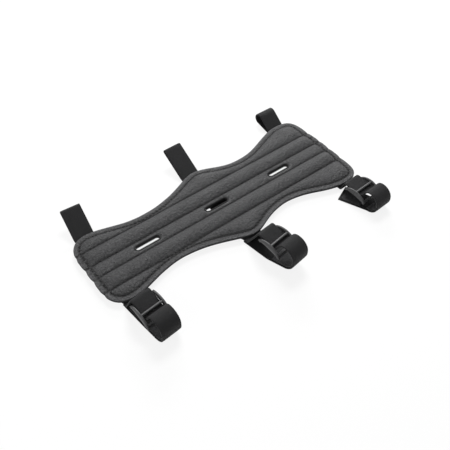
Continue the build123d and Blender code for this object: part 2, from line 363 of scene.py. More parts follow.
def shader_tree(name):
    """A new material with its tree cleared down to a Principled shader and the output."""
    material = bpy.data.materials.new(name)
    material.use_nodes = True
    tree = material.node_tree
    tree.nodes.clear()
    output = tree.nodes.new("ShaderNodeOutputMaterial")
    shader = tree.nodes.new("ShaderNodeBsdfPrincipled")
    tree.links.new(shader.outputs["BSDF"], output.inputs["Surface"])
    return material, tree, shader


def put(tree, kind, settings=None, **inputs):
    """A node with its settings and its inputs, which are values or other nodes' outputs."""
    made = tree.nodes.new(kind)
    for key, value in (settings or {}).items():
        setattr(made, key, value)
    for key, value in inputs.items():
        key = key.replace("_", " ")
        socket = made.inputs[int(key[2:])] if key.startswith("in") else made.inputs[key]
        if isinstance(value, bpy.types.NodeSocket):
            tree.links.new(value, socket)
        else:
            socket.default_value = value
    return made


def between(tree, share, low, high):
    """A value that goes from low to high as a share goes from 0 to 1."""
    return put(
        tree, "ShaderNodeMapRange", {"clamp": True}, Value=share, To_Min=low, To_Max=high
    ).outputs["Result"]


def two_colours(tree, share, dark, light):
    """A colour between two, by a share."""
    mixed = put(
        tree,
        "ShaderNodeMix",
        {"data_type": "RGBA"},
        in0=share,
        in6=(*dark, 1),
        in7=(*light, 1),
    )
    return mixed.outputs[2]


def foam_finish():
    """Closed-cell foam: charcoal, dull, with fine open cells on its cut faces."""
    material, tree, shader = shader_tree("charcoal foam")
    place = put(tree, "ShaderNodeTexCoord").outputs["Object"]
    cells = put(tree, "ShaderNodeTexVoronoi", Vector=place, Scale=1400.0).outputs["Distance"]
    colour = two_colours(tree, cells, (0.012, 0.012, 0.012), (0.05, 0.05, 0.052))
    tree.links.new(colour, shader.inputs["Base Color"])
    bump = put(tree, "ShaderNodeBump", Strength=0.6, Distance=0.0004, Height=cells)
    tree.links.new(bump.outputs["Normal"], shader.inputs["Normal"])
    shader.inputs["Roughness"].default_value = 0.95
    return material


FOAM = foam_finish()
FOAM_GAP = 0.12
CHANNELS = {
    "outer_strap_side": (-70.0, -OUTER_LINE),
    "inner_strap_side": (-OUTER_LINE, -INNER_LINE),
    "centre": (-INNER_LINE, INNER_LINE),
    "inner_loop_side": (INNER_LINE, OUTER_LINE),
    "outer_loop_side": (OUTER_LINE, 70.0),
}
foam_top = COVER_TOP - COVER_THICK - FOAM_GAP
foam_low = LINING_LOW + LINING_THICK + FOAM_GAP
for channel, (low_y, high_y) in CHANNELS.items():
    y = PLAN[:, 1]
    in_channel = (y > low_y + 1.0) & (y < high_y - 1.0)
    deep = (INSIDE > SEAM + 1.4) & (TO_SLOT > 1.0) & (foam_top - foam_low > 0.7)
    laid = TRIANGLES[(in_channel & deep)[TRIANGLES].all(axis=1)]
    foam = form("foam_strip_" + channel, laid, foam_top, foam_low)
    foam.data.materials.append(FOAM)
    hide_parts("foam_" + channel)
    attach(foam, channel)

# ---------------------------------------------------------------------------------------------
# Cover: one sheet of grained, leather-like vinyl, satin grey, with a raw cut edge. It is drawn
# down at the sewn lines and the seam, and crowned over the foam. Built in four bands that meet
# on the crowns, where they lie in line, each holding one sewn line.
# ---------------------------------------------------------------------------------------------


def new_group(name, inputs, outputs):
    """A shader node group with its sockets, and its two end nodes."""
    group = bpy.data.node_groups.new(name, "ShaderNodeTree")
    for label, kind in inputs:
        group.interface.new_socket(name=label, in_out="INPUT", socket_type=kind)
    for label, kind in outputs:
        group.interface.new_socket(name=label, in_out="OUTPUT", socket_type=kind)
    return group, group.nodes.new("NodeGroupInput"), group.nodes.new("NodeGroupOutput")


def maths(tree, operation, a, b=0.0):
    """The result of one step of arithmetic on values or other nodes' outputs."""
    return put(tree, "ShaderNodeMath", {"operation": operation}, in0=a, in1=b).outputs[0]


def grain_group():
    """Pebbled grain: rounded cells of uneven size with finer creases between them."""
    group, given, made = new_group(
        "pebbled grain",
        [("Place", "NodeSocketVector"), ("Scale", "NodeSocketFloat")],
        [("Height", "NodeSocketFloat"), ("Mottle", "NodeSocketFloat")],
    )
    warp = put(
        group, "ShaderNodeTexNoise", Vector=given.outputs["Place"], Scale=420.0, Detail=2.0
    )
    strayed = put(
        group,
        "ShaderNodeMix",
        {"data_type": "VECTOR"},
        in0=0.0012,
        in4=given.outputs["Place"],
        in5=warp.outputs["Color"],
    ).outputs[1]
    cells = put(
        group,
        "ShaderNodeTexVoronoi",
        {"feature": "SMOOTH_F1"},
        Vector=strayed,
        Scale=given.outputs["Scale"],
        Smoothness=0.35,
    ).outputs["Distance"]
    fine = put(
        group, "ShaderNodeTexNoise", Vector=given.outputs["Place"], Scale=2600.0, Detail=3.0
    ).outputs["Fac"]
    folds = put(
        group, "ShaderNodeTexNoise", Vector=given.outputs["Place"], Scale=560.0, Detail=1.5
    ).outputs["Fac"]
    pebble = maths(group, "SUBTRACT", 1.0, maths(group, "POWER", cells, 1.6))
    pebble = maths(group, "MULTIPLY", pebble, 0.5)
    height = maths(group, "ADD", pebble, maths(group, "MULTIPLY", fine, 0.15))
    height = maths(group, "ADD", height, maths(group, "MULTIPLY", folds, 0.5))
    group.links.new(height, made.inputs["Height"])
    mottle = put(
        group,
        "ShaderNodeTexNoise",
        Vector=given.outputs["Place"],
        Scale=75.0,
        Detail=5.0,
        Roughness=0.65,
    ).outputs["Fac"]
    group.links.new(mottle, made.inputs["Mottle"])
    return group


GRAIN = grain_group()


def use_group(tree, group, **inputs):
    """A shader node group placed in a material, with its own values."""
    return put(tree, "ShaderNodeGroup", {"node_tree": group}, **inputs)


def vinyl_finish():
    """Grained vinyl: dark in the grain's hollows; painted shade along the seams, painted highlight
    at cut edges.
    """
    material, tree, shader = shader_tree("grey grained vinyl")
    place = put(tree, "ShaderNodeTexCoord").outputs["Object"]
    grain = use_group(tree, GRAIN, Place=place, Scale=1150.0)
    height, mottle = grain.outputs["Height"], grain.outputs["Mottle"]
    # The "edge" mark makes the colour up to 1.6 times lighter near the cut edges: a painted
    # highlight.
    edge = put(tree, "ShaderNodeAttribute", {"attribute_name": "edge"}).outputs["Fac"]
    # The "fold" mark darkens the colour down to a tenth along the seam and the sewn lines: painted
    # shade. It also sets where the creases are bumped.
    fold = put(tree, "ShaderNodeAttribute", {"attribute_name": "fold"}).outputs["Fac"]
    colour = two_colours(tree, height, (0.006, 0.006, 0.0062), (0.058, 0.058, 0.060))
    spread = between(tree, mottle, 0.6, 1.4)
    # Random mottle, times the painted highlight at the cut edges and the painted shade along the
    # seam and sewn lines.
    mottle_and_painted_light = maths(tree, "MULTIPLY", spread, between(tree, edge, 1.0, 1.6))
    mottle_and_painted_light = maths(tree, "MULTIPLY", mottle_and_painted_light, between(tree, fold, 1.0, 0.1))
    shaded = put(tree, "ShaderNodeVectorMath", {"operation": "SCALE"}, in0=colour, Scale=mottle_and_painted_light)
    tree.links.new(shaded.outputs[0], shader.inputs["Base Color"])
    tree.links.new(between(tree, height, 0.62, 0.44), shader.inputs["Roughness"])
    creases = put(
        tree, "ShaderNodeTexNoise", Vector=place, Scale=430.0, Detail=3.0, Roughness=0.6
    ).outputs["Fac"]
    near_seam = maths(tree, "MULTIPLY", creases, between(tree, fold, 0.9, 1.3))
    relief = maths(tree, "ADD", maths(tree, "MULTIPLY", height, 0.55), near_seam)
    bump = put(tree, "ShaderNodeBump", Strength=1.0, Distance=0.0015, Height=relief)
    tree.links.new(bump.outputs["Normal"], shader.inputs["Normal"])
    shader.inputs["Specular IOR Level"].default_value = 0.25
    return material


def mark(piece, name, near, far):
    """A value on the piece's points: 1 at a level of nearness to a cut or seam, 0 beyond it."""
    co = np.array([v.co for v in piece.data.vertices]) / MM
    flat = co[:, :2]
    if name == "edge":
        distance = np.minimum(from_loop(flat, EDGE), np.maximum(from_slots(flat, EDGING / 2), 0))
    else:
        distance = np.abs(from_loop(flat, EDGE) - SEAM)
        for line in SEWN_LINES:
            distance = np.minimum(distance, np.abs(flat[:, 1] - line))
    value = np.clip((far - distance) / (far - near), 0, 1)
    attribute = piece.data.attributes.new(name, "FLOAT", "POINT")
    attribute.data.foreach_set("value", value.astype(np.float32))


VINYL = vinyl_finish()
cover_thinned = COVER_THICK / 2 * (1 - FULLNESS)
cover_top = COVER_TOP - cover_thinned
cover_low = COVER_TOP - COVER_THICK + cover_thinned


def whole_shading(top, low):
    """Smooth normals of a whole closed sheet, before it is divided into bands."""
    count = len(PLAN)
    shared = np.abs(top - low) < 1e-4
    below = np.where(shared, np.arange(count), np.arange(count) + count)
    verts = np.vstack([np.column_stack([PLAN, top]), np.column_stack([PLAN, low])])
    return normals_of(verts, np.vstack([TRIANGLES, below[TRIANGLES[:, ::-1]]]))


cover_shading = whole_shading(cover_top, cover_low)
COVER_NODES = [
    ["cover_outer_strap_side"],
    ["cover_inner_strap_side", "cover_centre"],
    ["cover_inner_loop_side"],
    ["cover_outer_loop_side"],
]
for band, (label, part_a, part_b, line) in enumerate(BAND_PARTS):
    mine = TRIANGLES[TRIANGLE_BANDS == band]
    cover = form("cover_" + label, mine, cover_top, cover_low, cover_shading)
    cover.data.materials.append(VINYL)
    # Marks for the finish: where the painted highlight goes near the cut edges, and where the
    # painted shade goes along the seam and sewn lines.
    mark(cover, "edge", 0.6, 3.2)
    mark(cover, "fold", 0.5, 1.9)
    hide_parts(*COVER_NODES[band])
    bends_at(cover)

# ---------------------------------------------------------------------------------------------
# Lining: one sheet of thin knitted cloth, cut to the cover's outline and sewn to it at the seam
# and the sewn lines. It is held flat there, and bulges a little between them, where the foam
# presses it down onto the straps. Built in the same four bands as the cover.
# ---------------------------------------------------------------------------------------------


def knit_finish():
    """Knitted lining: fine ribs crossed by courses, dull, with a slight bloom."""
    material, tree, shader = shader_tree("black knitted lining")
    place = put(tree, "ShaderNodeTexCoord").outputs["Object"]
    ribs = put(
        tree,
        "ShaderNodeTexWave",
        {"wave_type": "BANDS", "bands_direction": "X"},
        Vector=place,
        Scale=330.0,
        Distortion=1.2,
        Detail=1.0,
    ).outputs["Fac"]
    courses = put(
        tree,
        "ShaderNodeTexWave",
        {"wave_type": "BANDS", "bands_direction": "Y"},
        Vector=place,
        Scale=420.0,
        Distortion=1.2,
        Detail=1.0,
    ).outputs["Fac"]
    loops = maths(tree, "MULTIPLY", ribs, courses)
    colour = two_colours(tree, loops, (0.018, 0.018, 0.019), (0.058, 0.058, 0.060))
    tree.links.new(colour, shader.inputs["Base Color"])
    bump = put(tree, "ShaderNodeBump", Strength=0.5, Distance=0.0003, Height=loops)
    tree.links.new(bump.outputs["Normal"], shader.inputs["Normal"])
    shader.inputs["Roughness"].default_value = 0.9
    shader.inputs["Specular IOR Level"].default_value = 0.2
    shader.inputs["Sheen Weight"].default_value = 0.04
    return material


KNIT = knit_finish()
SHEET_GAP = 0.06
near_rim = np.clip((SEAM + 2 - INSIDE) / 2, 0, 1)
lining_thick = LINING_THICK + (COVER_THICK - LINING_THICK) * near_rim
lining_thinned = LINING_THICK / 2 * (1 - FULLNESS)
lining_low = LINING_LOW + lining_thinned
lining_top = np.minimum(LINING_LOW + lining_thick, cover_low - SHEET_GAP) - lining_thinned
lining_top = np.where(FULLNESS < 1e-4, lining_low, lining_top)
lining_shading = whole_shading(lining_top, lining_low)
for band, (label, part_a, part_b, line) in enumerate(BAND_PARTS):
    mine = TRIANGLES[TRIANGLE_BANDS == band]
    lining = form("lining_" + label, mine, lining_top, lining_low, lining_shading)
    lining.data.materials.append(KNIT)
    corners = PLAN[mine] * MM
    a, b = corners[:, 1] - corners[:, 0], corners[:, 2] - corners[:, 0]
    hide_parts(*[n.replace("cover_", "lining_") for n in COVER_NODES[band]])
    bends_at(lining)

# ---------------------------------------------------------------------------------------------
# Thread: dark twisted nylon, lock-stitched about six stitches to the inch. One seam follows
# the rim and four lines run down the panel; each stitch shows on the cover and on the lining.
# ---------------------------------------------------------------------------------------------
STITCH_PITCH, STITCH_LENGTH, STITCH_PROUD = 4.0, 2.9, 0.1
THREAD = 0.42


def thread_finish():
    """Nylon thread: plies that show as a fine unevenness, with a low shine."""
    material, tree, shader = shader_tree("dark nylon thread")
    place = put(tree, "ShaderNodeTexCoord").outputs["Object"]
    plies = put(tree, "ShaderNodeTexNoise", Vector=place, Scale=2300.0, Detail=2.0).outputs["Fac"]
    colour = two_colours(tree, plies, (0.0045, 0.0045, 0.0045), (0.020, 0.020, 0.021))
    tree.links.new(colour, shader.inputs["Base Color"])
    bump = put(tree, "ShaderNodeBump", Strength=0.5, Distance=0.0002, Height=plies)
    tree.links.new(bump.outputs["Normal"], shader.inputs["Normal"])
    shader.inputs["Roughness"].default_value = 0.6
    shader.inputs["Specular IOR Level"].default_value = 0.25
    return material


NYLON = thread_finish()


# Along one stitch: how far, how high in thread widths, and how thick.
STITCH_STATIONS = [
    (0.0, -0.5, 0.25),
    (0.1, 0.1, 0.8),
    (0.3, 0.42, 1.0),
    (0.7, 0.42, 1.0),
    (0.9, 0.1, 0.8),
    (1.0, -0.5, 0.25),
]
STITCH_SIDES = 7


def stitch(start, end, up, radius):
    """One stitch: a short round thread that rises from one hole and sinks into the next."""
    start, end = np.array(start), np.array(end)
    way = (end - start) / np.linalg.norm(end - start)
    side = np.cross(up, way)
    side /= np.linalg.norm(side)
    top = np.cross(way, side)
    verts, faces = [], []
    count = STITCH_SIDES
    for t, lift, width in STITCH_STATIONS:
        middle = start + (end - start) * t + top * lift * radius * 2
        for turn in range(count):
            angle = turn * math.tau / count
            round_it = side * math.cos(angle) + top * math.sin(angle)
            verts.append(middle + radius * width * round_it)
    for ring in range(len(STITCH_STATIONS) - 1):
        for turn in range(count):
            a, b = ring * count + turn, ring * count + (turn + 1) % count
            faces.append((a, b, b + count, a + count))
    last = count * (len(STITCH_STATIONS) - 1)
    faces.append(tuple(range(count - 1, -1, -1)))
    faces.append(tuple(range(last, last + count)))
    return verts, faces


def stitches_along(line):
    """Where each stitch of a line of stitches starts and ends, in the plan."""
    holes = walked(line, STITCH_PITCH)
    gap = (1 - STITCH_LENGTH / STITCH_PITCH) / 2
    return [(a + (b - a) * gap, b - (b - a) * gap) for a, b in zip(holes[:-1], holes[1:])]


seam = moved_in(EDGE, SEAM)
sewing = stitches_along(np.vstack([seam, seam[:1]]))
for y in SEWN_LINES:
    run = np.array([(x, y) for x in np.arange(WRIST_END, ELBOW_END, 0.5)])
    run = run[from_loop(run, EDGE) > SEAM + 0.6]
    run = run[[panel_has(p) for p in run]]
    sewing += stitches_along(run)
ends = np.array(sewing).reshape(-1, 2)
cover_level, lining_level, *_ = quilting(ends)
threads = {part[0]: ([], []) for part in BAND_PARTS}
for i, (a, b) in enumerate(sewing):
    label = BAND_PARTS[int(band_of((a[1] + b[1]) / 2))][0]
    verts, faces = threads[label]
    for level, up in ((cover_level, 1), (lining_level, -1)):
        start = (*a, level[2 * i] + up * STITCH_PROUD)
        end = (*b, level[2 * i + 1] + up * STITCH_PROUD)
        more_verts, more_faces = stitch(start, end, np.array((0, 0, up)), THREAD)
        faces.extend(tuple(v + len(verts) for v in f) for f in more_faces)
        verts.extend(more_verts)
for label, part_a, part_b, line in BAND_PARTS:
    thread = piece_of("stitching_" + label, *threads[label])
    thread.data.materials.append(NYLON)
    bends_at(thread)

# ---------------------------------------------------------------------------------------------
# Slot edgings: satin stitch worked close round each slot, through cover and lining, like a
# buttonhole. The same nylon thread, wound tightly enough to make one ribbed rim.
# ---------------------------------------------------------------------------------------------
WRAP_PITCH, WRAP_HALF_WIDTH, WRAP_HALF_HEIGHT = 0.62, 0.95, 2.3
WRAP_SIDES = 12


def wrapped_ring(line, half_width, half_height, level):
    """A ribbed ring round a closed line: each rib is one turn of the thread."""
    verts, faces = [], []
    way = np.roll(line, -1, axis=0) - np.roll(line, 1, axis=0)
    way /= np.linalg.norm(way, axis=1)[:, None]
    for i, ((x, y), (wx, wy)) in enumerate(zip(line, way)):
        swell = 1 + 0.10 * math.cos(math.pi * i)
        for turn in range(WRAP_SIDES):
            angle = turn * math.tau / WRAP_SIDES
            out = half_width * swell * math.cos(angle)
            up = half_height * (1 + 0.5 * (swell - 1)) * math.sin(angle)
            verts.append((x - wy * out, y + wx * out, level + up))
    count = len(line)
    for i in range(count):
        here, there = i * WRAP_SIDES, (i + 1) % count * WRAP_SIDES
        for turn in range(WRAP_SIDES):
            after = (turn + 1) % WRAP_SIDES
            faces.append((here + turn, here + after, there + after, there + turn))
    return verts, faces


for name, middle in zip(("wrist", "middle", "elbow"), SLOT_MIDDLES):
    line = slot_loop(middle, EDGING / 2, WRAP_PITCH / 2)
    line = line[: len(line) // 2 * 2]
    at_slot = (COVER_VALLEY + LINING_VALLEY) / 2
    verts, faces = wrapped_ring(line, WRAP_HALF_WIDTH, WRAP_HALF_HEIGHT, at_slot)
    edging = piece_of(name + "_slot_satin_edge", verts, faces)
    edging.data.materials.append(NYLON)
    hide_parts(name + "_slot_edging")
    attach(edging, "centre")

# ---------------------------------------------------------------------------------------------
# Elastic webbing: black woven elastic 19 mm wide and 1.6 mm thick, ribbed across by its rubber
# cords. One length for each strap runs from its loop, under the panel, to its rolled tail. It
# is built in lengths that meet under the channels, one length to each band of the panel.
# ---------------------------------------------------------------------------------------------
WEBBING_WIDTH, WEBBING = 19.0, 1.6
STATIONS = {"wrist": (-116.0, 41.5), "middle": (5.0, 48.5), "elbow": (118.0, 51.8)}
RIB_PITCH, CORD_PITCH = 0.95, 1.15
CROSS_CUTS = (-32.0, -15.5, 0.0, 15.5, 32.0)


def webbing_finish():
    """Woven elastic: ribs across it and cords along it, duller in the hollows."""
    material, tree, shader = shader_tree("black woven elastic")
    along = put(tree, "ShaderNodeUVMap", {"uv_map": "webbing"}).outputs["UV"]
    split = put(tree, "ShaderNodeSeparateXYZ", Vector=along)
    ribs = maths(tree, "SINE", maths(tree, "MULTIPLY", split.outputs["X"], math.tau / RIB_PITCH))
    cords = maths(tree, "SINE", maths(tree, "MULTIPLY", split.outputs["Y"], math.tau / CORD_PITCH))
    wander = put(tree, "ShaderNodeTexNoise", Vector=along, Scale=1.4, Detail=3.0).outputs["Fac"]
    weave = maths(tree, "MULTIPLY", maths(tree, "ABSOLUTE", ribs), 0.48)
    weave = maths(tree, "ADD", weave, maths(tree, "MULTIPLY", maths(tree, "ABSOLUTE", cords), 0.32))
    weave = maths(tree, "ADD", weave, maths(tree, "MULTIPLY", wander, 0.35))
    share = between(tree, weave, -0.2, 1.0)
    colour = two_colours(tree, share, (0.0045, 0.0045, 0.0045), (0.020, 0.020, 0.021))
    tree.links.new(colour, shader.inputs["Base Color"])
    bump = put(tree, "ShaderNodeBump", Strength=0.6, Distance=0.00025, Height=weave)
    tree.links.new(bump.outputs["Normal"], shader.inputs["Normal"])
    tree.links.new(between(tree, weave, 0.9, 0.62), shader.inputs["Roughness"])
    shader.inputs["Specular IOR Level"].default_value = 0.16
    shader.inputs["Sheen Weight"].default_value = 0.015
    return material


WOVEN = webbing_finish()


BEND_STEP, LONGEST_STEP = 0.16, 2.2


def rounded_route(corners, bends):
    """Points along a route with its corners rounded, close enough together to bend."""
    points = [np.array(p, float) for p in corners]
    line = [points[0]]
    for before, corner, after, radius in zip(points, points[1:], points[2:], bends):
        a, b = before - corner, after - corner
        a, b = a / np.linalg.norm(a), b / np.linalg.norm(b)
        half = math.acos(np.clip(a @ b, -1, 1)) / 2
        if radius < 0.05 or half > math.pi / 2 - 1e-3:
            line.append(corner)
            continue
        centre = corner + (a + b) / np.linalg.norm(a + b) * radius / math.sin(half)
        start, end = corner + a * radius / math.tan(half), corner + b * radius / math.tan(half)
        sweep = math.pi - 2 * half
        steps = max(3, math.ceil(sweep / BEND_STEP))
        for t in np.linspace(0, 1, steps + 1):
            reached = (start - centre) * math.sin((1 - t) * sweep)
            reached = reached + (end - centre) * math.sin(t * sweep)
            line.append(centre + reached / max(math.sin(sweep), 1e-9))
    line.append(points[-1])
    dense = [line[0]]
    for a, b in zip(line, line[1:]):
        count = max(1, math.ceil(np.linalg.norm(b - a) / LONGEST_STEP))
        dense.extend(a + (b - a) * k / count for k in range(1, count + 1))
    apart = [q for p, q in zip(dense, dense[1:]) if np.linalg.norm(q - p) > 1e-6]
    return np.array([dense[0], *apart])


def strip(name, line, across, width, thickness, offset=0.0):
    """A flat woven strip along a line, its edges rounded, marked along and across."""
    line, across = np.array(line), np.array(across)
    way = np.gradient(line, axis=0)
    way /= np.linalg.norm(way, axis=1)[:, None]
    up = np.cross(way, across)
    up /= np.linalg.norm(up, axis=1)[:, None]
    half, thick = width / 2, thickness / 2
    upper = [(-half, 0.0), (-half + 0.12, 0.62), (-half + 0.5, 0.93), (-half + 1.5, 0.86)]
    upper += [(-half + 2.2, 1.0), (-half / 3, 1.0), (half / 3, 1.0), (half - 2.2, 1.0)]
    upper += [(half - 1.5, 0.86), (half - 0.5, 0.93), (half - 0.12, 0.62), (half, 0.0)]
    section = upper + [(v, -w) for v, w in reversed(upper[1:-1])]
    count = len(section)
    verts = [
        p + a * v + n * (offset + w * thick)
        for p, a, n in zip(line, across, up)
        for v, w in section
    ]
    faces = []
    for i in range(len(line) - 1):
        for k in range(count):
            a, b = i * count + k, i * count + (k + 1) % count
            faces.append((a, b, b + count, a + count))
    faces.append(tuple(range(count - 1, -1, -1)))
    faces.append(tuple(range(len(verts) - count, len(verts))))
    piece = piece_of(name, verts, faces)
    along = np.concatenate([[0], np.cumsum(np.linalg.norm(np.diff(line, axis=0), axis=1))])
    layer = piece.data.uv_layers.new(name="webbing")
    for loop in piece.data.loops:
        row, k = divmod(loop.vertex_index, count)
        layer.data[loop.index].uv = (along[row], section[k][0])
    piece.data.set_sharp_from_angle(angle=math.radians(50))
    return piece


def straight_across(x, low, high):
    """A level run of webbing under the panel, between two places across it."""
    count = max(2, math.ceil((high - low) / 1.6))
    line = [(x, y, WEBBING / 2) for y in np.linspace(low, high, count + 1)]
    return line, [(-1.0, 0.0, 0.0)] * len(line)


CROSSINGS = list(zip(CROSS_CUTS, CROSS_CUTS[1:]))
for station, (x, rim) in STATIONS.items():
    for (label, part_a, part_b, y), (low, high) in zip(BAND_PARTS, CROSSINGS):
        line, across = straight_across(x, low, high)
        webbing = strip(f"{station}_webbing_{label}", line, across, WEBBING_WIDTH, WEBBING)
        webbing.data.materials.append(WOVEN)
        if label != "strap_half":
            stood_for = part_b if label == "strap_edge" else part_a
            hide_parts(f"{station}_elastic_{stood_for}")
        bends_at(webbing)

# ---------------------------------------------------------------------------------------------
# Loops: the end of each elastic, turned back on itself and sewn down under the rim. Two are
# pressed flat; the one at the elbow end stands open.
# ---------------------------------------------------------------------------------------------
LOOP_AXIS = (2.6, 3.2)
# For each loop: its slope and its turn in degrees, its length, and the gap inside it.
LOOPS = {
    "wrist": (33.0, -4.0, 27.0, 1.4),
    "middle": (30.0, 1.0, 31.0, 1.4),
    "elbow": (25.0, 0.0, 16.0, 8.6),
}


def eased(value, start, end):
    """From 0 at a start to 1 at an end, with a smooth change between."""
    share = min(max((value - start) / (end - start), 0), 1)
    return share * share * (3 - 2 * share)


def turned_about(points, ways, centre, turn, start, end):
    """Points and their across ways, turned about a vertical line, eased in from start to end."""
    moved, crossed = [], []
    for (x, y, z), way in zip(points, ways):
        spin = Matrix.Rotation(math.radians(turn) * eased(abs(y), start, end), 2)
        there = spin @ Vector((x - centre[0], y - centre[1]))
        moved.append((there.x + centre[0], there.y + centre[1], z))
        crossed.append((*(spin @ Vector(way[:2])), way[2]))
    return moved, crossed


for station, (x, rim) in STATIONS.items():
    slope, turn, length, gap = LOOPS[station]
    out = np.array((math.cos(math.radians(slope)), math.sin(math.radians(slope))))
    above = np.array((-out[1], out[0]))
    root = np.array((rim + LOOP_AXIS[0], LOOP_AXIS[1]))
    near, far = 0.5 + WEBBING / 2, gap / 2 + WEBBING / 2
    spread = math.asin((far - near) / length)
    tip = root + out * length
    lower = -above * math.cos(spread) - out * math.sin(spread)
    upper = above * math.cos(spread) - out * math.sin(spread)
    under = [(CROSS_CUTS[-1], WEBBING / 2), (rim - 6.5, WEBBING / 2)]
    there = rounded_route([*under, root + lower * near, tip + lower * far], [8.0, 5.0])
    first = -math.pi / 2 - spread
    fold = [
        tip + far * (out * math.cos(a) + above * math.sin(a))
        for a in np.linspace(first, -first, 17)[1:-1]
    ]
    coming = [tip + upper * far, root + upper * near - out * 1.9, (rim - 4.5, 3.05)]
    back = rounded_route(coming, [3.0])
    flat = np.vstack([there, fold, back])
    line = [(x, y, z) for y, z in flat]
    across = [(-1.0, 0.0, 0.0)] * len(line)
    line, across = turned_about(line, across, (x, root[0]), turn, rim + 1.0, rim + 6.0)
    loop = strip(f"{station}_loop_webbing", line, across, WEBBING_WIDTH, WEBBING)
    loop.data.materials.append(WOVEN)
    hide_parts(f"{station}_loop", f"{station}_elastic_outer_loop_side")
    start = (x * MM, (rim + 0.4) * MM, LOOP_AXIS[1] * MM)
    end = (x * MM, (rim + 4.6) * MM, LOOP_AXIS[1] * MM)
    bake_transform(loop)

# ---------------------------------------------------------------------------------------------
# Rolled straps: the long end of each elastic. It rises at the rim, runs over one bar of the
# slider, under the middle bar and over the last, then round in a roll and back under itself.
# ---------------------------------------------------------------------------------------------
TAIL_HEIGHT = WEBBING / 2
TAIL_TURN_AT = 33.0
SWING_FROM, SWING_FULL = 38.0, 28.0
STRAIGHT_UNTIL, TURNED_FROM, PAST_THE_SLIDER = -12.0, -3.0, 20.0
STRAP_AXIS = (-4.4, 2.0)
# For each strap: its turn in degrees, the corners of its route as distances out from the rim and
# up, how far each corner is rounded, where its tail ends, and how far the tail swings aside.
STRAPS = {
    "wrist": {
        "turn": -5.0,
        "corners": [(1, 3.1), (10, 21.5), (28.5, 14.5), (34.4, 26), (49, 26), (49, 2.4), (23, 0.8)],
        "bends": [1.6, 2.6, 3.0, 6.0, 10.5, 10.5, 20.0],
        "end": -3.4,
        "swing": 0.0,
    },
    "middle": {
        "turn": -8.0,
        "corners": [(1, 3.1), (13, 24), (31.5, 19), (37.5, 30), (52, 30), (52, 8), (24, 0.8)],
        "bends": [1.6, 2.6, 3.0, 6.0, 10.5, 12.0, 20.0],
        "end": -3.4,
        "swing": 0.0,
    },
    "elbow": {
        "turn": -3.0,
        "corners": [(1.2, 3.1), (4.5, 13.2), (24.5, 11), (30, 22), (44, 22), (44, 0.8)],
        "bends": [1.4, 2.6, 3.0, 6.0, 10.0, 10.0],
        "end": 2.5,
        "swing": 20.0,
    },
}


def strap_place(station, out, up, aside=0.0):
    """A place in a strap's plane: out from the rim, up, and aside from its middle."""
    x, rim = STATIONS[station]
    turn = math.radians(STRAPS[station]["turn"])
    return (
        x - out * math.sin(turn) - aside * math.cos(turn),
        -rim - out * math.cos(turn) + aside * math.sin(turn),
        up,
    )


def strap_across(station, spin=0.0):
    """The direction across a strap, spun about the vertical."""
    turn = math.radians(STRAPS[station]["turn"] - spin)
    return (-math.cos(turn), math.sin(turn), 0.0)


for station, (x, rim) in STATIONS.items():
    strap = STRAPS[station]
    under = [(-(rim + CROSS_CUTS[0]), TAIL_HEIGHT), (-8.4, TAIL_HEIGHT), (-4.4, 3.1)]
    route = [*under, *strap["corners"], (strap["end"], TAIL_HEIGHT)]
    flat = rounded_route(route, [3.0, 3.0, *strap["bends"]])
    line, across, passed = [], [], False
    for out, up in flat:
        if out < TURNED_FROM and not passed:
            share = eased(out, STRAIGHT_UNTIL, TURNED_FROM)
            turned = np.array(strap_place(station, out, up))
            plain = np.array((x, -rim - out, up))
            line.append(plain + (turned - plain) * share)
            across.append(strap_across(station, strap["turn"] * (1 - share)))
            continue
        passed = passed or out > PAST_THE_SLIDER
        spin, aside = 0.0, 0.0
        if strap["swing"] and passed and up < 1.0 and out < SWING_FROM:
            spin = strap["swing"] * eased(out, SWING_FROM, SWING_FULL)
            run = max(TAIL_TURN_AT - out, 0)
            aside = run * math.sin(math.radians(strap["swing"]))
            out = TAIL_TURN_AT - run * math.cos(math.radians(strap["swing"])) if run else out
        line.append(strap_place(station, out, up, aside))
        across.append(strap_across(station, spin))
    roll = strip(f"{station}_rolled_webbing", line, across, WEBBING_WIDTH, WEBBING)
    roll.data.materials.append(WOVEN)
    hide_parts(f"{station}_strap", f"{station}_elastic_outer_strap_side")
    start = Vector(strap_place(station, -7.2, STRAP_AXIS[1])) * MM
    end = Vector(strap_place(station, -4.2, STRAP_AXIS[1])) * MM
    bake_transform(roll)

# ---------------------------------------------------------------------------------------------
# Fastener patches: black loop pile on the inside of each roll and black hooks on its tail,
# 17 mm wide, stitched down along both edges. Here the two halves are pressed together.
# ---------------------------------------------------------------------------------------------
PATCH_WIDTH, PATCH = 17.0, 1.0


def pile_finish(name, fineness, dark, light, depth):
    """Hook or loop pile: fine tufts that lie unevenly."""
    material, tree, shader = shader_tree(name)
    place = put(tree, "ShaderNodeTexCoord").outputs["Object"]
    tufts = put(tree, "ShaderNodeTexVoronoi", Vector=place, Scale=fineness).outputs["Distance"]
    lie = put(tree, "ShaderNodeTexNoise", Vector=place, Scale=160.0, Detail=3.0).outputs["Fac"]
    height = maths(tree, "SUBTRACT", 1.0, tufts)
    height = maths(tree, "ADD", height, maths(tree, "MULTIPLY", lie, 0.5))
    tree.links.new(two_colours(tree, height, dark, light), shader.inputs["Base Color"])
    bump = put(tree, "ShaderNodeBump", Strength=0.8, Distance=depth, Height=height)
    tree.links.new(bump.outputs["Normal"], shader.inputs["Normal"])
    shader.inputs["Roughness"].default_value = 0.85
    shader.inputs["Specular IOR Level"].default_value = 0.2
    shader.inputs["Sheen Weight"].default_value = 0.06
    return material


LOOP_PILE = pile_finish("black loop pile", 1500.0, (0.010,) * 3, (0.085, 0.085, 0.088), 0.0006)
HOOKS = pile_finish("black hooks", 900.0, (0.008,) * 3, (0.040, 0.040, 0.042), 0.0004)
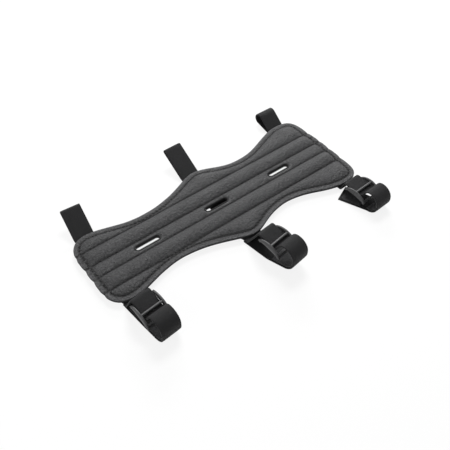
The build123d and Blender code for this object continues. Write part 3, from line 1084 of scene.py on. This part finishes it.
# For each roll: where its lining of pile starts and ends, where its hooks start and end, and
# the side of the webbing that the hooks are on.
PATCHES = {
    "wrist": {"lining": (38.2, 26.0), "hooks": (4.0, 21.0), "side": -1},
    "middle": {"lining": (41.2, 29.0), "hooks": (29.0, 41.0), "side": 1},
    "elbow": {"lining": (33.8, 33.0), "hooks": (5.0, 24.0), "side": -1},
}
LAST_CORNER = {"wrist": (23.0, 0.8), "middle": (24.0, 0.8), "elbow": (33.0, 0.8)}


def lowest_run(station, out):
    """A point on a strap's lowest run, at a distance out from the rim."""
    foot, down = STRAPS[station]["corners"][5], LAST_CORNER[station]
    rise_each = (foot[1] - down[1]) / (foot[0] - down[0])
    return np.array((out, down[1] + max(out - down[0], 0) * rise_each))


def patch_strip(name, station, flat, offset, spin=0.0):
    """A patch along a route in the strap's plane, standing off it on one side."""
    line, across = [], []
    for out, up in flat:
        run = TAIL_TURN_AT - out if spin else 0
        aside = run * math.sin(math.radians(spin))
        there = TAIL_TURN_AT - run * math.cos(math.radians(spin)) if spin else out
        line.append(strap_place(station, there, up, aside))
        across.append(strap_across(station, spin))
    return strip(name, line, across, PATCH_WIDTH, PATCH, offset)


for station, patch in PATCHES.items():
    top_start, low_end = patch["lining"]
    top, foot = STRAPS[station]["corners"][4:6]
    inside = (WEBBING + PATCH) / 2
    going = [(top_start, top[1]), top, foot, lowest_run(station, low_end)]
    flat = rounded_route(going, STRAPS[station]["bends"][4:6])
    pile = patch_strip(station + "_loop_pile", station, flat, inside)
    pile.data.materials.append(LOOP_PILE)
    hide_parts(station + "_loop_patch")
    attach(pile, station + "_strap")
    near, far = patch["hooks"]
    flat = [lowest_run(station, out) for out in np.linspace(far, near, 12)]
    spin = STRAPS[station]["swing"]
    hooks = patch_strip(station + "_hook_tape", station, flat, inside * -patch["side"], spin)
    hooks.data.materials.append(HOOKS)
    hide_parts(station + "_hook_patch")
    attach(hooks, station + "_strap")

# ---------------------------------------------------------------------------------------------
# Sliders: moulded black nylon, satin. Two bowed side rails, thick in the middle, are joined by
# three round bars; the strap goes over the outer two and under the middle one, and holds them.
# ---------------------------------------------------------------------------------------------


def nylon_finish():
    """Moulded nylon: smooth and satin, with a faint haze and ripple from the mould."""
    material, tree, shader = shader_tree("satin black nylon")
    place = put(tree, "ShaderNodeTexCoord").outputs["Object"]
    haze = put(tree, "ShaderNodeTexNoise", Vector=place, Scale=190.0, Detail=4.0).outputs["Fac"]
    colour = two_colours(tree, haze, (0.028, 0.028, 0.029), (0.042, 0.042, 0.043))
    tree.links.new(colour, shader.inputs["Base Color"])
    tree.links.new(between(tree, haze, 0.42, 0.56), shader.inputs["Roughness"])
    ripple = put(tree, "ShaderNodeBump", Strength=0.08, Distance=0.0003, Height=haze)
    tree.links.new(ripple.outputs["Normal"], shader.inputs["Normal"])
    shader.inputs["Specular IOR Level"].default_value = 0.5
    return material


MOULDED = nylon_finish()
BAR, BAR_DROP, BAR_PITCH, BAR_SIDES = 1.25, 2.4, 10.6, 18
SLIDER_HALF_INSIDE, RAIL, RAIL_SIDES = 9.9, 2.2, 14
RAIL_HALF_LENGTH, RAIL_FOOT, RAIL_CREST, RAIL_HOLLOW = 12.4, -2.6, 4.2, -2.0
FROM_HUMP = 15.2


def arc_height(s, foot, top, half):
    """The height of an arc that runs from a foot, over a top, to the other foot."""
    radius = (half * half + (top - foot) ** 2) / (2 * (top - foot))
    return top - radius + math.sqrt(max(radius * radius - s * s, 0))


def add_tube(verts, faces, rings):
    """Adds a closed tube made of rings of points to a list of points and faces."""
    base, count = len(verts), len(rings[0])
    for ring in rings:
        verts.extend(ring)
    for i in range(len(rings) - 1):
        for k in range(count):
            a, b = base + i * count + k, base + i * count + (k + 1) % count
            faces.append((a, b, b + count, a + count))
    faces.append(tuple(range(base + count - 1, base - 1, -1)))
    last = base + (len(rings) - 1) * count
    faces.append(tuple(range(last, last + count)))


for station in STATIONS:
    hump, dip = (np.array(c, float) for c in STRAPS[station]["corners"][1:3])
    along = (dip - hump) / np.linalg.norm(dip - hump)
    up = np.array((-along[1], along[0]))
    centre = hump + along * FROM_HUMP
    verts, faces = [], []
    for side in (-1, 1):
        rings = []
        for s in np.linspace(0.05 - RAIL_HALF_LENGTH, RAIL_HALF_LENGTH - 0.05, 27):
            high = arc_height(s, RAIL_FOOT, RAIL_CREST, RAIL_HALF_LENGTH)
            low = arc_height(s, RAIL_FOOT, RAIL_HOLLOW, RAIL_HALF_LENGTH)
            middle, tall = (high + low) / 2, max((high - low) / 2, 0.12)
            ring = []
            for k in range(RAIL_SIDES):
                angle = k * math.tau / RAIL_SIDES
                w = math.copysign(abs(math.cos(angle)) ** 0.6, math.cos(angle)) * RAIL / 2
                n = math.copysign(abs(math.sin(angle)) ** 0.8, math.sin(angle)) * tall
                flat = centre + along * s + up * (middle + n)
                ring.append(strap_place(station, *flat, side * (SLIDER_HALF_INSIDE + RAIL / 2 + w)))
            rings.append(ring)
        add_tube(verts, faces, rings)
    for s, n in ((-BAR_PITCH, -BAR_DROP), (0.0, BAR_DROP), (BAR_PITCH, -BAR_DROP)):
        rings = []
        for v in (-11.9, -11.6, *np.linspace(-10.5, 10.5, 9), 11.6, 11.9):
            narrow = 0.6 if abs(v) > 11.8 else 1.0
            ring = []
            for k in range(BAR_SIDES):
                angle = k * math.tau / BAR_SIDES
                flat = centre + along * (s + BAR * narrow * math.cos(angle))
                flat = flat + up * (n + BAR * narrow * math.sin(angle))
                ring.append(strap_place(station, *flat, v))
            rings.append(ring)
        add_tube(verts, faces, rings)
    slider = piece_of(station + "_moulded_slider", verts, faces)
    slider.data.set_sharp_from_angle(angle=math.radians(70))
    slider.data.materials.append(MOULDED)
    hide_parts(station + "_slider")
    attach(slider, station + "_slider")

# ---------------------------------------------------------------------------------------------
# Table, lights and camera: the guard lies on a plain white surface with white all round it,
# under three broad soft lamps. The camera looks down on it from the strap side of the wrist end.
# ---------------------------------------------------------------------------------------------


def seen_plain(tree):
    """1 where a surface or the surroundings are looked at, mirrored or looked through."""
    path = put(tree, "ShaderNodeLightPath")
    mirrored = maths(tree, "MAXIMUM", path.outputs["Is Camera Ray"], path.outputs["Is Glossy Ray"])
    return maths(tree, "MAXIMUM", mirrored, path.outputs["Is Transmission Ray"])


def white_table():
    """A white surface that looks lit from below, as a light table does, and keeps the shadow."""
    material, tree, shader = shader_tree("plain white surface")
    shader.inputs["Base Color"].default_value = (0.95, 0.95, 0.95, 1)
    shader.inputs["Roughness"].default_value = 0.9
    glow = put(tree, "ShaderNodeEmission", Strength=1.0)
    seen = maths(tree, "MULTIPLY", seen_plain(tree), 0.85)
    mixed = put(tree, "ShaderNodeMixShader", in0=seen, in1=shader.outputs[0], in2=glow.outputs[0])
    end = next(node for node in tree.nodes if node.type == "OUTPUT_MATERIAL")
    tree.links.new(mixed.outputs[0], end.inputs["Surface"])
    return material


TABLE_HALF = 4.0
table_mesh = bpy.data.meshes.new("table")
table_mesh.from_pydata(
    [(x * TABLE_HALF, y * TABLE_HALF, 0) for x, y in ((-1, -1), (1, -1), (1, 1), (-1, 1))],
    [],
    [(0, 1, 2, 3)],
)
table = bpy.data.objects.new("table", table_mesh)
bpy.context.scene.collection.objects.link(table)
table_mesh.materials.append(white_table())
table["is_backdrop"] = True


def light(name, place, look_at, size, power):
    """A soft rectangular lamp at a place, aimed at another."""
    lamp = bpy.data.lights.new(name, "AREA")
    lamp.shape = "RECTANGLE"
    lamp.size, lamp.size_y = size
    lamp.energy = power
    stand = bpy.data.objects.new(name, lamp)
    stand.location = place
    aim = Vector(look_at) - Vector(place)
    stand.rotation_euler = aim.to_track_quat("-Z", "Y").to_euler()
    bpy.context.scene.collection.objects.link(stand)


FILL = 0.24
world = bpy.data.worlds.new("studio")
world.use_nodes = True
sky = world.node_tree
sky.nodes["Background"].inputs["Color"].default_value = (1, 1, 1, 1)
strength = maths(sky, "ADD", maths(sky, "MULTIPLY", seen_plain(sky), 1 - FILL), FILL)
sky.links.new(strength, sky.nodes["Background"].inputs["Strength"])
scene = bpy.context.scene
scene.world = world
scene.view_settings.view_transform = "Standard"
light("overhead", (0.35, 0.4, 1.0), (0.05, 0, 0), (0.5, 0.3), 10.0)
light("left", (-0.9, -0.2, 0.55), (0, 0, 0), (0.5, 0.5), 2.3)
light("behind", (0.6, 0.9, 0.6), (0.05, 0, 0), (0.6, 0.3), 8.0)

AZIMUTH, ELEVATION, DISTANCE = math.radians(-36.9), math.radians(46.8), 0.5766
view = Vector(
    (
        math.sin(AZIMUTH) * math.cos(ELEVATION),
        -math.cos(AZIMUTH) * math.cos(ELEVATION),
        math.sin(ELEVATION),
    )
)
aim_at = Vector((0, 0, 0.0072))
camera = bpy.data.cameras.new("camera")
camera.lens = 49.6
camera.sensor_width = 36
camera.clip_start = 0.05
camera.shift_x, camera.shift_y = 0.019, -0.046
viewer = bpy.data.objects.new("camera", camera)
viewer.location = aim_at + view * DISTANCE
level = (-view).to_track_quat("-Z", "Y").to_matrix()
viewer.rotation_euler = (level @ Matrix.Rotation(math.radians(-0.43), 3, "Z")).to_euler()
scene.collection.objects.link(viewer)
scene.camera = viewer

low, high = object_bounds()
